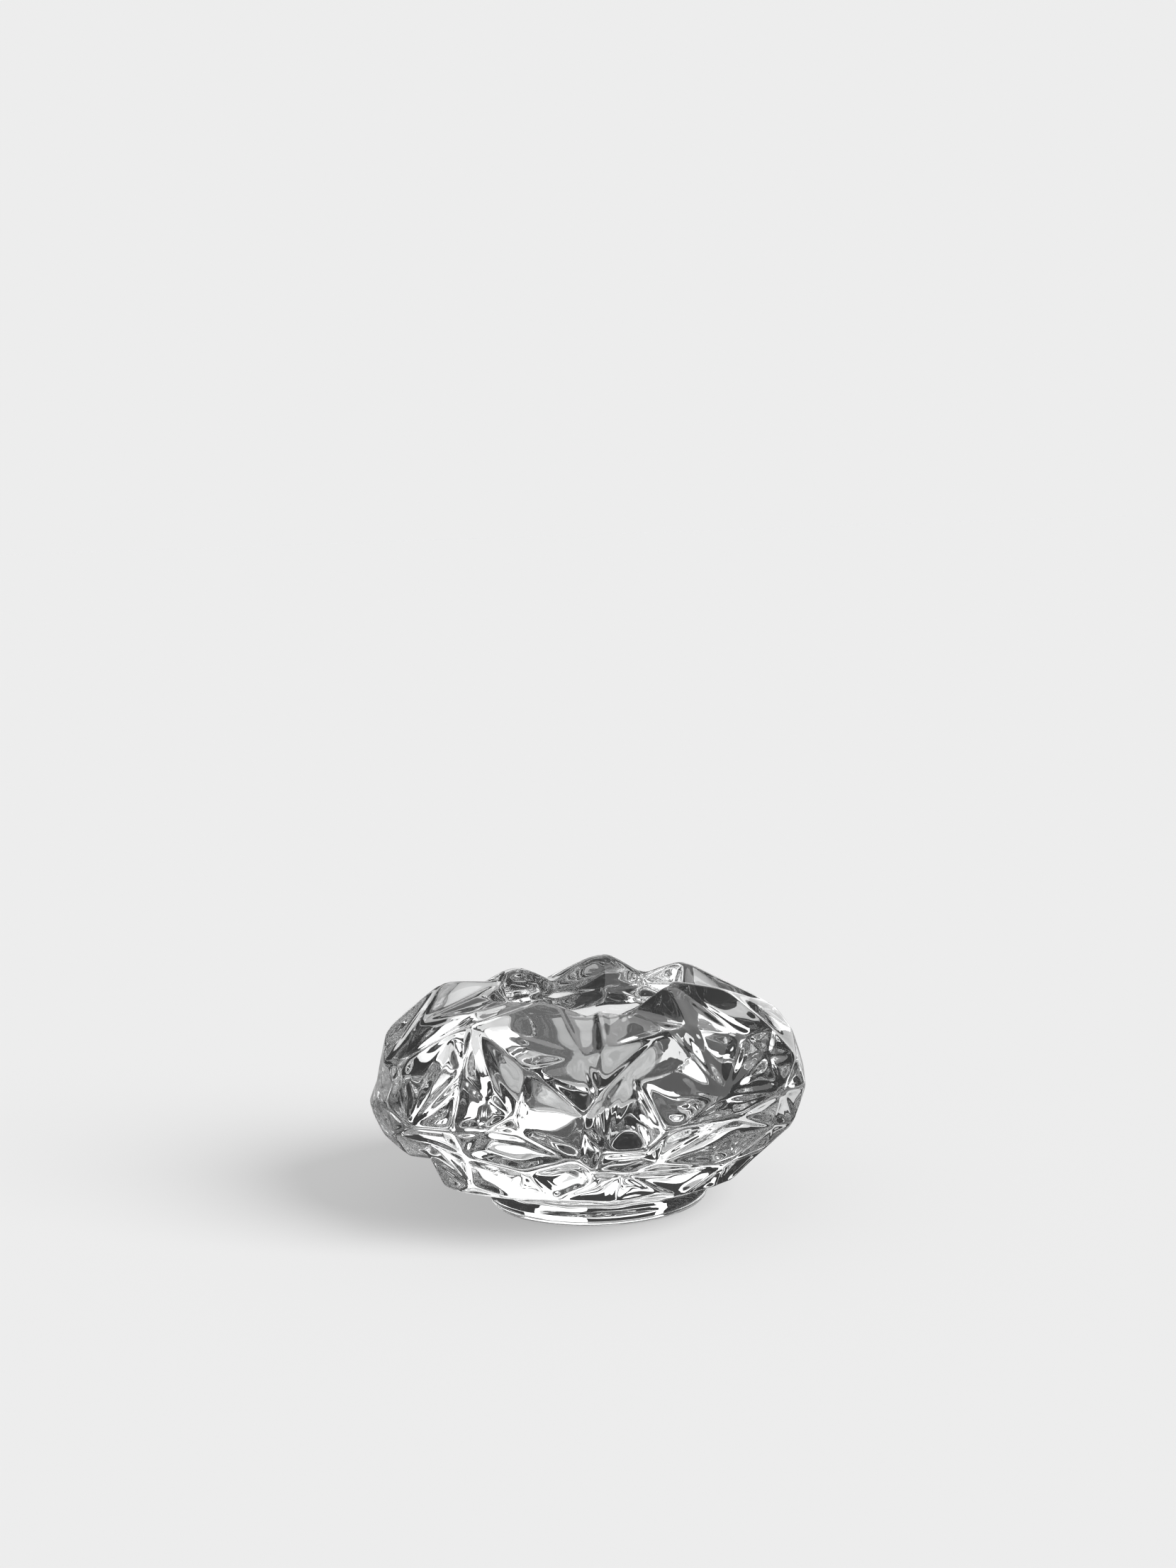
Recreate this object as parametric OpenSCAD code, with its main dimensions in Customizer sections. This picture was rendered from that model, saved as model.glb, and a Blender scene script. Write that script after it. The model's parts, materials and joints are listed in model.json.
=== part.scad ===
// Clear crystal votive candle holder: a faceted bowl with a candle cup, on a plain round foot.
// Millimetres, +Z up. The origin is the middle of the foot's underside, and the front faces -Y.

/* [Bowl] */
// Width of the bowl at its girth, before the corners stand proud
girth_d = 117; // [100:1:140]
// Height of the girth above the table
girth_z = 33; // [28:1:38]
// Width across the ridge of the rim
rim_d = 56; // [54:1:62]
// Mean height of the rim above the table
rim_z = 60; // [54:1:70]
// Fullness of the side between rim, girth and foot: 1 is a straight cone, 2 is an ellipse
side_fullness = 1.65; // [1.4:0.05:2]
// One step of relief: the tables of corners count how far each stands proud or sinks in these steps
relief_step = 1; // [0.5:0.05:1.3]

/* [Candle cup] */
// Width of the straight wall that a candle stands in
cup_d = 46; // [40:0.5:48]
// Depth of the cup below the mean rim
cup_depth = 31; // [24:0.5:36]
// Height of the straight wall above the floor's rounded corner
cup_wall_h = 12; // [8:0.5:16]
// Radius between the cup's floor and its wall
cup_corner_r = 4; // [2:0.5:6]
// Width of the cup's mouth at the mean rim
mouth_d = 52; // [50:0.5:53]

/* [Foot] */
// Width of the foot
foot_d = 60; // [50:1:64]
// Height of the foot
foot_h = 7.5; // [5:0.5:10]
// Radius of the foot's lower edge
foot_edge_r = 2; // [1:0.25:3]
// How far the bowl's underside reaches past the foot before it rises
seat_overhang = 1.5; // [0.5:0.25:3]

/* [Hidden] */
$fn = 96;
crystal = [0.86, 0.89, 0.90, 0.55];

seat_r = foot_d / 2 + seat_overhang;
cup_floor_z = rim_z - cup_depth;
cup_wall_top_z = cup_floor_z + cup_corner_r + cup_wall_h;

// The rim's ridge, corner by corner: [turn, lift, reach].
// Turn is in degrees from the front, towards +X; lift is steps above the mean rim; reach is steps past it.
rim_corners = [
    [-156, -2.6, -0.5], [-136, 1.4, 0], [-122, 1.6, 0.5], [-113, -1.2, 1.5], [-84, -1, 2.3], [-64, -1.2, 2],
    [-45, -0.7, 1], [-24, 0.2, 0], [-4.5, -3, -0.5], [5, -2, -0.5], [22, -3.4, -0.5], [49, 2.3, 0.5],
    [82, -0.7, -1], [117, 2.2, 1], [148, -1.6, -0.5], [174, 2.8, -0.5]
];

// The corners of the side's facets, in rings from the shoulder to the underside: [turn, climb, relief].
// Climb is 100 at the rim, 0 at the girth and -100 at the foot; relief is how many steps it stands proud.
side_corners = [
    [
        [-158, 66, -1], [-134, 78, 1.5], [-112, 89, 7.5], [-84.5, 74, 0], [-54, 90, 1], [-41.5, 81, 3],
        [-5, 64, -2], [4.5, 72, 0], [25, 84, -4], [34, 80, 1], [50, 67.5, 3], [66.5, 64, 3],
        [77, 93.5, 2.5], [103, 65, 2.5], [121, 76, -2.5], [141, 66, 2], [168, 80, 1]
    ],
    [
        [-166, 36, 2], [-140, 46, 0], [-118, 50, 3], [-103, 49, 6.5], [-86, 36, 2], [-67, 46, 2.5],
        [-53, 67, 0], [-39.5, 48.5, 2], [-31, 29, -1.5], [-22.5, 20, 0], [-19, 56, 3.5], [-3.5, 23, -0.5],
        [1.5, 38, 1.5], [10.5, 50, -0.5], [24.5, 78, 2], [35, 28, 2], [54.5, 47, 2.5], [71, 37, 2],
        [92, 44, 1.5], [112, 38, 2], [132, 30, -1], [156, 48, 1.5]
    ],
    [
        [-172, -2, -1], [-150, 8, 2.5], [-127, 12, 1], [-104, 4, 3], [-87, 10, 2], [-71, 2, 1],
        [-56, -5, 0.5], [-38, 3, 2.5], [-29.5, 2.5, -0.5], [-20, 1, -1.5], [-3, 1, -1], [2.5, -12, 0.5],
        [13, -14, -0.5], [18.5, 3, 2], [35.5, 4.5, 2.5], [54, 15, 2.5], [74, 2, 0.5], [93, 6, -0.5],
        [116, -4, -1], [138, 4, 2.5], [164, 12, 0]
    ],
    [
        [-164, -34, 1.5], [-140, -26, 0.5], [-118, -30, 2.5], [-96, -26, 6], [-68, -29, 2],
        [-49, -26, -0.5], [-36, -29, 2], [-6, -24, 1], [-1, -37, 1.5], [18, -31, -0.5], [39.5, -12, -1],
        [51, -18, 1], [68, -32, 1], [90, -22, -0.5], [108, -34, 2], [130, -28, 0.5], [152, -22, -1],
        [174, -28, 2]
    ],
    [
        [-156, -62, 0], [-132, -56, 2], [-106, -62, 2], [-86, -49, 5], [-72, -55, 2.5], [-62, -52, -1.5],
        [-41, -65, 2], [-29.5, -44, -0.5], [-20, -42, 1], [-3, -51, 0], [9, -45, 0.5], [37, -48, 1],
        [53, -42, 1], [76, -60, -1.5], [99, -54, -0.5], [121, -62, 1.5], [143, -50, 0], [167, -58, 1.5]
    ],
    [
        [-168, -88, 1], [-144, -84, 0], [-118, -90, 1.5], [-92, -84, 1.5], [-61, -84, 3.5],
        [-50, -80, 3.5], [-30, -82, 0.5], [-14, -76, 1], [4, -85, 1], [20, -79, 0], [30, -88, 1],
        [44, -82, 0.5], [58, -88, 1], [84, -86, 0], [110, -88, 1.5], [134, -82, 0], [158, -90, 1]
    ]
];

// Where the bowl's flat underside ends: the turns of its corners.
seat_turns = [-162, -128, -98, -70, -42, -16, 8, 34, 62, 92, 122, 152];

// The smooth side that the corners stand on: its height and radius at a climb.
function side_z(climb) = girth_z + climb / 100 * (climb > 0 ? rim_z - girth_z : girth_z - foot_h);
function bulge(share) = (1 - share ^ side_fullness) ^ (1 / side_fullness);
function side_r(climb) =
    let (end_r = climb > 0 ? rim_d / 2 : seat_r)
    end_r + (girth_d / 2 - end_r) * bulge(min(1, abs(climb) / 100));

function polar(turn, r, z) = [r * sin(turn), -r * cos(turn), z];
function rim_point(c) = polar(c[0], rim_d / 2 + relief_step * c[2], rim_z + relief_step * c[1]);
function side_point(c) = polar(c[0], side_r(c[1]) + relief_step * c[2], side_z(c[1]));

rings = concat(
    [[for (c = rim_corners) rim_point(c)]],
    [for (ring = side_corners) [for (c = ring) side_point(c)]],
    [[for (turn = seat_turns) polar(turn, seat_r, foot_h)]]
);
ring_turns = concat(
    [[for (c = rim_corners) c[0]]],
    [for (ring = side_corners) [for (c = ring) c[0]]],
    [seat_turns]
);

// Number of a ring's corner among all corners, and its turn, counting on past the end of the ring.
function ring_start(k) = k == 0 ? 0 : ring_start(k - 1) + len(rings[k - 1]);
function corner_number(k, i) = ring_start(k) + i % len(rings[k]);
function corner_turn(k, i) = ring_turns[k][i % len(rings[k])] + 360 * floor(i / len(rings[k]));

// Facets between ring k and the ring below it: each step goes along the ring whose next corner comes first.
function facets_below(k, i = 0, j = 0) =
    let (
        upper_done = i == len(rings[k]),
        lower_done = j == len(rings[k + 1]),
        upper_first = corner_turn(k, i + 1) < corner_turn(k + 1, j + 1),
        a = corner_number(k, i),
        b = corner_number(k + 1, j)
    )
    upper_done && lower_done ? []
    : lower_done || (!upper_done && upper_first)
        ? concat([[a, corner_number(k, i + 1), b]], facets_below(k, i + 1, j))
        : concat([[a, corner_number(k + 1, j + 1), b]], facets_below(k, i, j + 1));

// The solid inside the facets. A cone from the rim's ridge to the cup's floor closes its top.
module faceted_block() {
    last = len(rings) - 1;
    tip = ring_start(last) + len(rings[last]);
    rim_n = len(rings[0]);
    polyhedron(
        points = concat([for (ring = rings) each ring], [[0, 0, cup_floor_z]]),
        faces = concat(
            [for (k = [0 : last - 1]) each facets_below(k)],
            [for (i = [0 : rim_n - 1]) [(i + 1) % rim_n, i, tip]],
            [[for (i = [len(rings[last]) - 1 : -1 : 0]) ring_start(last) + i]]
        )
    );
}

// The space that the candle stands in: rounded floor, straight wall, then a flare to the mouth.
module cup_space() {
    cup_r = cup_d / 2;
    slope = (mouth_d / 2 - cup_r) / (rim_z - cup_wall_top_z);
    above = rim_z;
    rotate_extrude() {
        translate([0, cup_floor_z]) square([cup_r - cup_corner_r, cup_corner_r]);
        translate([cup_r - cup_corner_r, cup_floor_z + cup_corner_r])
            intersection() {
                circle(cup_corner_r);
                translate([0, -cup_corner_r]) square(cup_corner_r);
            }
        translate([0, cup_floor_z + cup_corner_r]) square([cup_r, cup_wall_h]);
        translate([0, cup_wall_top_z])
            polygon([[0, 0], [cup_r, 0], [cup_r + slope * above, above], [0, above]]);
    }
}

module bowl() {
    color(crystal)
    difference() {
        faceted_block();
        cup_space();
    }
}

module foot() {
    foot_r = foot_d / 2;
    color(crystal)
    rotate_extrude() {
        square([foot_r - foot_edge_r, foot_h]);
        translate([0, foot_edge_r]) square([foot_r, foot_h - foot_edge_r]);
        translate([foot_r - foot_edge_r, foot_edge_r])
            intersection() {
                circle(foot_edge_r);
                translate([0, -foot_edge_r]) square(foot_edge_r);
            }
    }
}

bowl();
foot();
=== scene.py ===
import json
import math

import bpy
from mathutils import Matrix, Vector
from mathutils.kdtree import KDTree

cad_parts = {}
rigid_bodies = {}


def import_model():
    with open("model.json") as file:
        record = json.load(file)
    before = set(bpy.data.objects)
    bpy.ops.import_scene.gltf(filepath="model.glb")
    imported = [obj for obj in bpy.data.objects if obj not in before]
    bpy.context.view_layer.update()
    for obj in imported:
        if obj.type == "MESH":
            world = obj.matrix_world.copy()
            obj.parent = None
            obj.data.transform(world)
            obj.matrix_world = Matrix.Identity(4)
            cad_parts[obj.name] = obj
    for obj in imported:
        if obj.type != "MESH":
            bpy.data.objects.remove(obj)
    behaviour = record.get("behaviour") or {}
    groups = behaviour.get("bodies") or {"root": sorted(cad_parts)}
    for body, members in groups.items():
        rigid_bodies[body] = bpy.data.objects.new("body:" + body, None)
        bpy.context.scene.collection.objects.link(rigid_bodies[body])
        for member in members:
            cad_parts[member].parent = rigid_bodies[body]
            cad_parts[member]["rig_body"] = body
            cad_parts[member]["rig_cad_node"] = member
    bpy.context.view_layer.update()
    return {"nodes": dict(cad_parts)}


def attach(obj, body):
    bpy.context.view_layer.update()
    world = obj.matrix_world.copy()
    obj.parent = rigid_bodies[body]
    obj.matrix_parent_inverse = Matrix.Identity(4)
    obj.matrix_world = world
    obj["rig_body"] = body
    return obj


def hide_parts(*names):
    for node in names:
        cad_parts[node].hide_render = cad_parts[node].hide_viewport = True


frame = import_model()


# Camera, set from the outline of the rim, girth and foot

viewpoint = {
    "aim": (0.0, 0.0, 0.032),  # point on the cup's axis that the distance is measured from
    "distance": 0.75,
    "elevation": 14.0,
    "pitch": -7.79,  # the holder stands low in the frame, so the lens looks over it
    "yaw": 0.0785,
    "roll": 2.0,
    "lens": 62.86,
    "sensor": 36.0,
    "nearest": 0.01,
    "farthest": 50.0,
}


def makeCamera():
    lift = math.radians(viewpoint["elevation"])
    back = Vector((0.0, -math.cos(lift), math.sin(lift)))
    place = Vector(viewpoint["aim"]) + back * viewpoint["distance"]
    pitch = math.radians(viewpoint["pitch"])
    yaw = math.radians(viewpoint["yaw"])
    look = Vector((math.sin(yaw) * math.cos(pitch), math.cos(yaw) * math.cos(pitch), math.sin(pitch)))
    level = Vector((math.cos(yaw), -math.sin(yaw), 0.0))
    upright = level.cross(look)
    roll = math.radians(viewpoint["roll"])
    right = level * math.cos(roll) - upright * math.sin(roll)
    up = upright * math.cos(roll) + level * math.sin(roll)
    bpy.ops.object.camera_add()
    camera = bpy.context.active_object
    camera.name = "viewCamera"
    turned = Matrix((right, up, -look)).transposed().to_4x4()
    camera.matrix_world = Matrix.Translation(place) @ turned
    camera.data.lens = viewpoint["lens"]
    camera.data.sensor_width = viewpoint["sensor"]
    camera.data.clip_start = viewpoint["nearest"]
    camera.data.clip_end = viewpoint["farthest"]
    bpy.context.scene.camera = camera
    print("camera set")


# Small helpers for working by hand

mergeGap = 1e-6  # corners closer than this are one


def pickOnly(piece):
    bpy.ops.object.select_all(action="DESELECT")
    piece.select_set(True)
    bpy.context.view_layer.objects.active = piece


def copyNode(nodeName, pieceName):
    pickOnly(frame["nodes"][nodeName])
    bpy.ops.object.duplicate()
    piece = bpy.context.active_object
    bpy.ops.object.parent_clear(type="CLEAR_KEEP_TRANSFORM")
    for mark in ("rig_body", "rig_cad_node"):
        del piece[mark]
    piece.name = pieceName
    bpy.ops.object.mode_set(mode="EDIT")
    bpy.ops.mesh.select_all(action="SELECT")
    bpy.ops.mesh.remove_doubles(threshold=mergeGap)
    bpy.ops.object.mode_set(mode="OBJECT")
    return piece


def addModifier(piece, kind, **choices):
    pickOnly(piece)
    bpy.ops.object.modifier_add(type=kind)
    modifier = piece.modifiers[-1]
    for name, value in choices.items():
        setattr(modifier, name, value)
    bpy.ops.object.modifier_apply(modifier=modifier.name)


# The glass: slightly swollen panes between beaded ridges, a candle cup and a round foot, all one lump

glassShape = {
    "leastOutward": 0.01,  # facets that face out less than this belong to the cup or the underside
    "paneAngle": 5.0,  # facets that meet at less than this are one pane
    "reliefPasses": 4,  # a smoother copy, which the corners are drawn away from
    "reliefGain": 0.32,
    "levelPasses": 10,  # how often the panes are pressed flat again
    "fit": (0.975, 0.982, 0.985),  # draws the corners back inside the solid's reach
    "paneArea": 0.00025,  # panes of this size and more swell in full
    "paneSwell": 0.0009,  # how far the middle of such a pane stands out
    "cuts": 4,  # how often every pane is halved, the first time flat and then rounded
    "beadWidth": 0.0013,  # the bead along each ridge of the front
    "beadHeight": 0.0008,
    "beadEnd": 80.0,  # turn from the front at which the beads have died away
    "beadFade": 25.0,
    "ridgePasses": 20,  # rounds the ridges
    "footTop": 0.0085,
    "footFade": 0.003,  # the rounding dies away over this height
    "waveSize": 0.016,  # slow unevenness of the pressed faces
    "waveHeight": 0.00010,
    "flatBelow": 0.002,  # the foot's underside stays flat up to here
    "edgeFade": 0.001,
}

candleCup = {
    "openAbove": 0.050,  # the rim's open ridge lies above this
    "sides": 128,
    "steps": 10,  # from the rim's ridge down to the round part of the wall
    "narrowing": 0.987,  # each step's width against the one above
    "levelling": 0.80,  # each step's height above the round part, against the one above
    "profile": [  # radius and height, down to the middle of the floor
        (0.0238, 0.0500), (0.0235, 0.0485), (0.0232, 0.0470), (0.0230, 0.0450), (0.0230, 0.0430),
        (0.0230, 0.0410), (0.0230, 0.0390), (0.0230, 0.0370), (0.0230, 0.0350), (0.0230, 0.0330),
        (0.0227, 0.0315), (0.0218, 0.0302), (0.0205, 0.0293), (0.0190, 0.0290), (0.0170, 0.0290),
        (0.0140, 0.0290), (0.0100, 0.0290), (0.0050, 0.0290),
    ],
}

roundFoot = {
    "openBelow": 0.010,  # the underside's open edge lies below this
    "sides": 128,
    "steps": 0,
    "profile": [  # radius and height, from the bowl's underside to the middle of the base
        (0.0301, 0.0064), (0.0300, 0.0055), (0.0300, 0.0044), (0.0300, 0.0032), (0.0299, 0.0020),
        (0.0295, 0.0010), (0.0288, 0.0003), (0.0280, 0.0), (0.0265, 0.0), (0.0230, 0.0), (0.0150, 0.0),
        (0.0060, 0.0),
    ],
}


def pickFaces(piece, wanted):
    pickOnly(piece)
    for thing in list(piece.data.vertices) + list(piece.data.edges) + list(piece.data.polygons):
        thing.select = False
    for face in piece.data.polygons:
        face.select = wanted(face)
    bpy.ops.object.mode_set(mode="EDIT")
    bpy.ops.mesh.select_mode(type="FACE")


def pickEdges(piece, keys):
    pickFaces(piece, lambda face: False)
    bpy.ops.object.mode_set(mode="OBJECT")
    for edge in piece.data.edges:
        edge.select = edge.key in keys
    bpy.ops.object.mode_set(mode="EDIT")
    bpy.ops.mesh.select_mode(type="EDGE")


def pickedEdges(piece):
    bpy.ops.object.mode_set(mode="OBJECT")
    keys = {edge.key for edge in piece.data.edges if edge.select}
    bpy.ops.object.mode_set(mode="EDIT")
    return keys


def openLoop(piece, isThere):
    users = {}
    for face in piece.data.polygons:
        for key in face.edge_keys:
            users[key] = users.get(key, 0) + 1
    places = [vertex.co for vertex in piece.data.vertices]
    return {key for key, number in users.items() if number == 1 and all(isThere(places[v]) for v in key)}


def weighVertices(piece, name, weigh):
    group = piece.vertex_groups.new(name=name)
    for vertex in piece.data.vertices:
        weight = min(1.0, max(0.0, weigh(vertex.co)))
        if weight > 0.0:
            group.add([vertex.index], weight, "REPLACE")
    return group.name


def drawAway(piece, passes, gain, group):
    pickOnly(piece)
    bpy.ops.object.shape_key_add(from_mix=False)
    bpy.ops.object.modifier_add(type="SMOOTH")
    melt = piece.modifiers[-1]
    melt.name = "melted"
    melt.factor = 0.5
    melt.iterations = passes
    melt.vertex_group = group
    bpy.ops.object.modifier_apply_as_shapekey(modifier=melt.name)
    melted = piece.data.shape_keys.key_blocks["melted"]
    melted.slider_min = -2.0
    melted.value = -gain
    bpy.ops.object.shape_key_remove(all=True, apply_mix=True)


def takePanes():
    glass = copyNode("bowl", "crystal_holder")

    def turnedIn(face):
        outward = Vector((face.center.x, face.center.y, 0.0)).normalized().dot(face.normal)
        return outward < glassShape["leastOutward"]

    def aboveFoot(place):
        return (place.z - glassShape["footTop"]) / glassShape["edgeFade"]

    pickFaces(glass, turnedIn)
    bpy.ops.mesh.delete(type="FACE")
    bpy.ops.mesh.select_all(action="SELECT")
    bpy.ops.mesh.dissolve_limited(angle_limit=math.radians(glassShape["paneAngle"]))
    bpy.ops.object.mode_set(mode="OBJECT")
    side = weighVertices(glass, "side", aboveFoot)
    drawAway(glass, glassShape["reliefPasses"], glassShape["reliefGain"], side)
    glass.vertex_groups.clear()
    bpy.ops.object.mode_set(mode="EDIT")
    bpy.ops.mesh.select_all(action="SELECT")
    bpy.ops.mesh.face_make_planar(factor=0.5, repeat=glassShape["levelPasses"])
    bpy.ops.transform.resize(value=glassShape["fit"], center_override=(0.0, 0.0, 0.0))
    bpy.ops.object.mode_set(mode="OBJECT")
    print("panes taken:", len(glass.data.polygons))
    return glass


def swellPanes(glass):
    ridgeCount = len(glass.data.vertices) + len(glass.data.edges)  # the corners, then the ridges' middles
    areas = [face.area for face in glass.data.polygons]
    addModifier(glass, "SUBSURF", subdivision_type="SIMPLE", levels=1, render_levels=1)
    middles = glass.vertex_groups.new(name="paneMiddles")
    for number, area in enumerate(areas):
        middles.add([ridgeCount + number], min(1.0, area / glassShape["paneArea"]), "REPLACE")
    addModifier(
        glass, "DISPLACE", direction="NORMAL", mid_level=0.0, strength=glassShape["paneSwell"],
        vertex_group=middles.name)
    glass.vertex_groups.clear()
    pickEdges(glass, {edge.key for edge in glass.data.edges if max(edge.key) < ridgeCount})
    bpy.ops.transform.edge_crease(value=1.0)
    bpy.ops.object.mode_set(mode="OBJECT")
    cuts = glassShape["cuts"] - 1
    perEdge = 2 ** cuts - 1  # the cuts add this many vertices to every edge, after all the old ones
    oldCount = len(glass.data.vertices)
    onRidge = list(range(ridgeCount))
    for edge in glass.data.edges:
        if max(edge.key) < ridgeCount:
            onRidge += range(oldCount + edge.index * perEdge, oldCount + (edge.index + 1) * perEdge)
    addModifier(glass, "SUBSURF", subdivision_type="CATMULL_CLARK", levels=cuts, render_levels=cuts)
    print("panes swollen:", len(glass.data.polygons), "faces")
    return onRidge


def raiseBeads(glass, onRidge):
    ridges = KDTree(len(onRidge))
    for number in onRidge:
        ridges.insert(glass.data.vertices[number].co, number)
    ridges.balance()

    def bead(place):
        away = ridges.find(place)[2] / glassShape["beadWidth"]
        turn = abs(math.degrees(math.atan2(place.x, -place.y)))
        left = (glassShape["beadEnd"] - turn) / glassShape["beadFade"]
        return math.exp(-away * away) * min(1.0, max(0.0, left))

    addModifier(
        glass, "DISPLACE", direction="NORMAL", mid_level=0.0, strength=glassShape["beadHeight"],
        vertex_group=weighVertices(glass, "beads", bead))
    glass.vertex_groups.clear()
    print("beads raised along", len(onRidge), "points")


def turnProfile(glass, shape, isThere):
    first = shape["profile"][0]
    pickEdges(glass, openLoop(glass, isThere))
    for step in range(shape["steps"]):
        bpy.ops.mesh.extrude_edges_move(TRANSFORM_OT_translate={"value": (0.0, 0.0, 0.0)})
        narrow = shape["narrowing"]
        bpy.ops.transform.resize(
            value=(narrow, narrow, shape["levelling"]), center_override=(0.0, 0.0, first[1]))
    end = pickedEdges(glass)
    bpy.ops.mesh.select_all(action="DESELECT")
    bpy.ops.mesh.primitive_circle_add(
        vertices=shape["sides"], radius=first[0], fill_type="NOTHING", location=(0.0, 0.0, first[1]))
    ring = pickedEdges(glass)
    before = first
    for place in shape["profile"][1:]:
        bpy.ops.mesh.extrude_edges_move(
            TRANSFORM_OT_translate={"value": (0.0, 0.0, place[1] - before[1])})
        share = place[0] / before[0]
        bpy.ops.transform.resize(value=(share, share, 1.0), center_override=(0.0, 0.0, place[1]))
        before = place
    bpy.ops.mesh.edge_face_add()
    bpy.ops.object.mode_set(mode="OBJECT")
    pickEdges(glass, end | ring)
    bpy.ops.mesh.bridge_edge_loops()
    bpy.ops.object.mode_set(mode="OBJECT")
    print("profile turned:", len(glass.data.polygons), "faces")


def softenGlass(glass):
    pickOnly(glass)
    bpy.ops.object.mode_set(mode="EDIT")
    bpy.ops.mesh.select_all(action="SELECT")
    bpy.ops.mesh.remove_doubles(threshold=mergeGap)
    bpy.ops.mesh.normals_make_consistent(inside=False)
    bpy.ops.object.mode_set(mode="OBJECT")

    def pastFoot(place):
        return (place.z - glassShape["footTop"] + glassShape["footFade"]) / glassShape["footFade"]

    def uneven(place):
        return (place.z - glassShape["flatBelow"]) / glassShape["edgeFade"]

    side = weighVertices(glass, "side", pastFoot)
    addModifier(glass, "SMOOTH", factor=0.5, iterations=glassShape["ridgePasses"], vertex_group=side)
    glass.vertex_groups.clear()
    waves = bpy.data.textures.new("pressedWaves", "CLOUDS")
    waves.noise_scale = glassShape["waveSize"]
    waves.noise_depth = 1
    addModifier(
        glass, "DISPLACE", texture=waves, texture_coords="LOCAL", direction="NORMAL", mid_level=0.5,
        strength=glassShape["waveHeight"], vertex_group=weighVertices(glass, "unevenFaces", uneven))
    glass.vertex_groups.clear()
    bpy.ops.object.shade_smooth()
    print("glass softened:", len(glass.data.polygons), "faces")


# The crystal finish

crystalFinish = {
    "colour": (0.985, 0.99, 0.99, 1.0),
    "ior": 1.52,
    "rippleSize": 0.0035,  # ripples that the mould leaves in the faces
    "rippleHeight": 0.000004,
    "hazeSize": 0.009,
    "hazeFrom": 0.45,  # the part of the noise that the haze follows
    "hazeTo": 0.75,
    "clearest": 0.0,  # roughness, from the clearest patches to the haziest
    "haziest": 0.012,
}


def crystalMaterial():
    material = bpy.data.materials.new("clearCrystal")
    material.use_nodes = True
    nodes = material.node_tree.nodes
    links = material.node_tree.links
    shader = nodes["Principled BSDF"]
    shader.inputs["Base Color"].default_value = crystalFinish["colour"]
    shader.inputs["IOR"].default_value = crystalFinish["ior"]
    shader.inputs["Transmission Weight"].default_value = 1.0
    place = nodes.new("ShaderNodeTexCoord")

    ripples = nodes.new("ShaderNodeTexNoise")
    ripples.inputs["Scale"].default_value = 1.0 / crystalFinish["rippleSize"]
    ripples.inputs["Detail"].default_value = 1.0
    links.new(place.outputs["Object"], ripples.inputs["Vector"])
    bump = nodes.new("ShaderNodeBump")
    bump.inputs["Strength"].default_value = 1.0
    bump.inputs["Distance"].default_value = crystalFinish["rippleHeight"]
    links.new(ripples.outputs["Fac"], bump.inputs["Height"])
    links.new(bump.outputs["Normal"], shader.inputs["Normal"])

    haze = nodes.new("ShaderNodeTexNoise")
    haze.inputs["Scale"].default_value = 1.0 / crystalFinish["hazeSize"]
    haze.inputs["Detail"].default_value = 3.0
    links.new(place.outputs["Object"], haze.inputs["Vector"])
    level = nodes.new("ShaderNodeMapRange")
    level.inputs["From Min"].default_value = crystalFinish["hazeFrom"]
    level.inputs["From Max"].default_value = crystalFinish["hazeTo"]
    level.inputs["To Min"].default_value = crystalFinish["clearest"]
    level.inputs["To Max"].default_value = crystalFinish["haziest"]
    links.new(haze.outputs["Fac"], level.inputs["Value"])
    links.new(level.outputs["Result"], shader.inputs["Roughness"])
    return material


# Floor, light and surroundings

studio = {
    "paper": 0.847,  # the grey of the paper, as light
    "paperGlow": 0.52,  # share of it that the camera sees even in the shadow
    "floorSize": 8.0,
    "floorGap": 0.0002,  # glass on a table keeps a film of air
    "sunShare": 0.72,  # the rest of the light comes from all round
    "sunElevation": 32.0,
    "sunTurn": 58.0,  # from the front towards the right
    "sunAngle": 40.0,  # a wide lamp, for a soft shadow
}


def paperMaterial():
    material = bpy.data.materials.new("paleFloor")
    material.use_nodes = True
    nodes = material.node_tree.nodes
    links = material.node_tree.links
    shader = nodes["Principled BSDF"]
    grey = studio["paper"] * (1.0 - studio["paperGlow"])
    shader.inputs["Base Color"].default_value = (grey, grey, grey, 1.0)
    shader.inputs["Roughness"].default_value = 1.0
    shader.inputs["Specular IOR Level"].default_value = 0.0
    path = nodes.new("ShaderNodeLightPath")
    seen = nodes.new("ShaderNodeMath")
    seen.operation = "MAXIMUM"
    seen.use_clamp = True
    links.new(path.outputs["Is Camera Ray"], seen.inputs[0])
    links.new(path.outputs["Is Transmission Ray"], seen.inputs[1])
    level = nodes.new("ShaderNodeMath")
    level.operation = "MULTIPLY"
    level.inputs[1].default_value = studio["paper"] * studio["paperGlow"]
    links.new(seen.outputs[0], level.inputs[0])
    shader.inputs["Emission Color"].default_value = (1.0, 1.0, 1.0, 1.0)
    links.new(level.outputs[0], shader.inputs["Emission Strength"])
    return material


# Cards round the holder, which only the glass sees: bright panels and dark flags give it contrast

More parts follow.
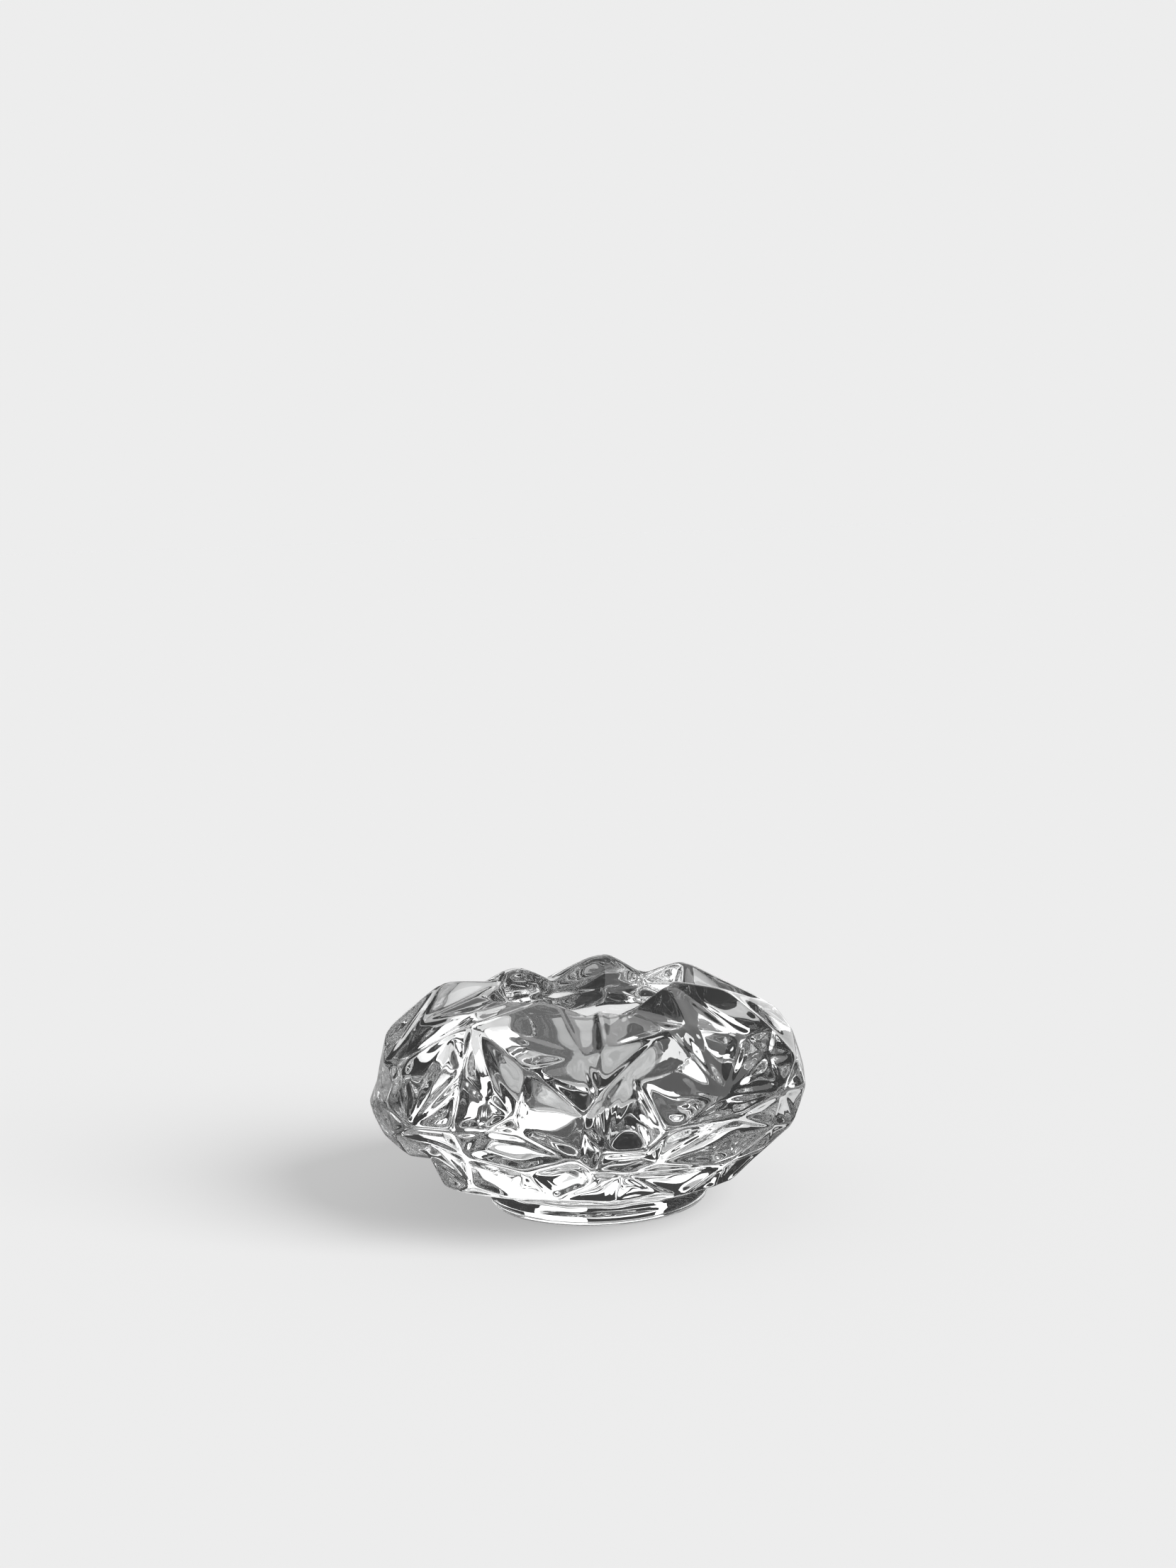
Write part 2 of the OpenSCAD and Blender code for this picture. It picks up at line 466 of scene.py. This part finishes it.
cards = {
    "corners": 180,  # of the full ring that a strip is cut from
    "bright": 1.5,
    "half": 0.5,
    "dim": 0.15,
    "dark": 0.04,
    "strips": [  # name, radius and height of one edge and of the other, first and last turn, tone
        ("hood", (0.62, 0.0), (0.62, 1.0), 0.0, 360.0, "dark"),
        ("lid", (0.62, 1.0), (0.01, 1.0), 0.0, 360.0, "dark"),
        ("tallPanelLeft", (0.60, 0.0), (0.60, 0.469), 292.0, 338.0, "bright"),
        ("lowPanel", (0.60, 0.0), (0.60, 0.242), 158.0, 204.0, "bright"),
        ("lowPanelRight", (0.60, 0.0), (0.60, 0.14), 112.0, 158.0, "bright"),
        ("barBehind", (0.59, 0.06), (0.59, 0.16), 176.0, 200.0, "dark"),
        ("barRight", (0.59, 0.05), (0.59, 0.13), 122.0, 150.0, "dark"),
        ("greyPanelBehind", (0.60, 0.242), (0.60, 0.469), 158.0, 202.0, "half"),
        ("highPanelRight", (0.60, 0.469), (0.60, 0.96), 22.0, 202.0, "bright"),
        ("highPanelLeft", (0.60, 0.469), (0.60, 0.96), 248.0, 292.0, "bright"),
        ("matUnder", (0.0001, -0.0001), (0.032, -0.0001), 0.0, 360.0, "half"),
        ("matBehind", (0.032, -0.0001), (0.12, -0.0001), 45.0, 182.0, "dark"),
        ("matBehindLeft", (0.032, -0.0001), (0.065, -0.0001), 182.0, 225.0, "dark"),
        ("matAround", (0.032, -0.0001), (0.12, -0.0001), 225.0, 405.0, "dim"),
        ("matFront", (0.12, -0.0001), (0.25, -0.0001), 225.0, 405.0, "dark"),
        ("matFar", (0.25, -0.0001), (0.60, -0.0001), 225.0, 495.0, "dark"),
    ],
}


def glowMaterial(name, glow):
    material = bpy.data.materials.new(name)
    material.use_nodes = True
    shader = material.node_tree.nodes["Principled BSDF"]
    shader.inputs["Base Color"].default_value = (0.0, 0.0, 0.0, 1.0)
    shader.inputs["Specular IOR Level"].default_value = 0.0
    shader.inputs["Emission Color"].default_value = (1.0, 1.0, 1.0, 1.0)
    shader.inputs["Emission Strength"].default_value = glow
    return material


def finishCard(name, glow):
    card = bpy.context.active_object
    card.name = name
    card.data.materials.append(glowMaterial(name, glow))
    card.visible_camera = False
    card.visible_diffuse = False
    card.visible_shadow = False


def makeCards():
    for name, near, far, start, end, tone in cards["strips"]:
        bpy.ops.object.select_all(action="DESELECT")
        bpy.ops.mesh.primitive_circle_add(
            vertices=cards["corners"], radius=near[0], fill_type="NOTHING", location=(0.0, 0.0, near[1]))
        bpy.ops.object.transform_apply(location=True)
        strip = bpy.context.active_object
        bpy.ops.object.mode_set(mode="EDIT")
        bpy.ops.mesh.extrude_edges_move(TRANSFORM_OT_translate={"value": (0.0, 0.0, far[1] - near[1])})
        share = far[0] / near[0]
        bpy.ops.transform.resize(value=(share, share, 1.0), center_override=(0.0, 0.0, far[1]))
        bpy.ops.object.mode_set(mode="OBJECT")

        def beyond(face):
            turn = math.degrees(math.atan2(face.center.x, -face.center.y))
            return (turn - start) % 360.0 > end - start

        pickFaces(strip, beyond)
        bpy.ops.mesh.delete(type="FACE")
        bpy.ops.object.mode_set(mode="OBJECT")
        finishCard(name, cards[tone])
    print("cards set:", len(cards["strips"]))


def makeStudio():
    bpy.ops.object.select_all(action="DESELECT")
    bpy.ops.mesh.primitive_plane_add(size=studio["floorSize"], location=(0.0, 0.0, -studio["floorGap"]))
    floor = bpy.context.active_object
    floor.name = "floor"
    floor.data.materials.append(paperMaterial())

    bpy.ops.object.light_add(type="SUN")
    sun = bpy.context.active_object
    sun.name = "keyLight"
    rise = math.radians(studio["sunElevation"])
    turn = math.radians(studio["sunTurn"])
    towards = Vector((math.sin(turn) * math.cos(rise), -math.cos(turn) * math.cos(rise), math.sin(rise)))
    sun.rotation_mode = "QUATERNION"
    sun.rotation_quaternion = towards.to_track_quat("Z", "Y")
    sun.data.angle = math.radians(studio["sunAngle"])
    sun.data.energy = math.pi * studio["sunShare"] / math.sin(rise)

    world = bpy.data.worlds.new("studioWorld")
    bpy.context.scene.world = world
    world.use_nodes = True
    nodes = world.node_tree.nodes
    links = world.node_tree.links
    backdrop = nodes["Background"]
    path = nodes.new("ShaderNodeLightPath")
    seen = nodes.new("ShaderNodeMath")
    seen.operation = "MAXIMUM"
    links.new(path.outputs["Is Camera Ray"], seen.inputs[0])
    links.new(path.outputs["Is Glossy Ray"], seen.inputs[1])
    seenToo = nodes.new("ShaderNodeMath")
    seenToo.operation = "MAXIMUM"
    links.new(seen.outputs[0], seenToo.inputs[0])
    links.new(path.outputs["Is Transmission Ray"], seenToo.inputs[1])
    level = nodes.new("ShaderNodeMapRange")
    level.inputs["To Min"].default_value = 1.0 - studio["sunShare"]
    level.inputs["To Max"].default_value = studio["paper"]
    links.new(seenToo.outputs[0], level.inputs["Value"])
    backdrop.inputs["Color"].default_value = (1.0, 1.0, 1.0, 1.0)
    links.new(level.outputs["Result"], backdrop.inputs["Strength"])
    print("studio set")


makeCamera()
crystal = crystalMaterial()
holder = takePanes()
raiseBeads(holder, swellPanes(holder))
turnProfile(holder, candleCup, lambda place: place.z > candleCup["openAbove"])
turnProfile(holder, roundFoot, lambda place: place.z < roundFoot["openBelow"])
softenGlass(holder)
holder.data.materials.clear()
holder.data.materials.append(crystal)
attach(holder, "root")
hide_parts("bowl", "foot")
makeStudio()
makeCards()

scene = bpy.context.scene
scene.view_settings.view_transform = "Standard"
scene.cycles.max_bounces = 32  # light crosses the glass many times
scene.cycles.transmission_bounces = 32
scene.cycles.glossy_bounces = 16
scene.cycles.caustics_refractive = False
scene.cycles.caustics_reflective = False
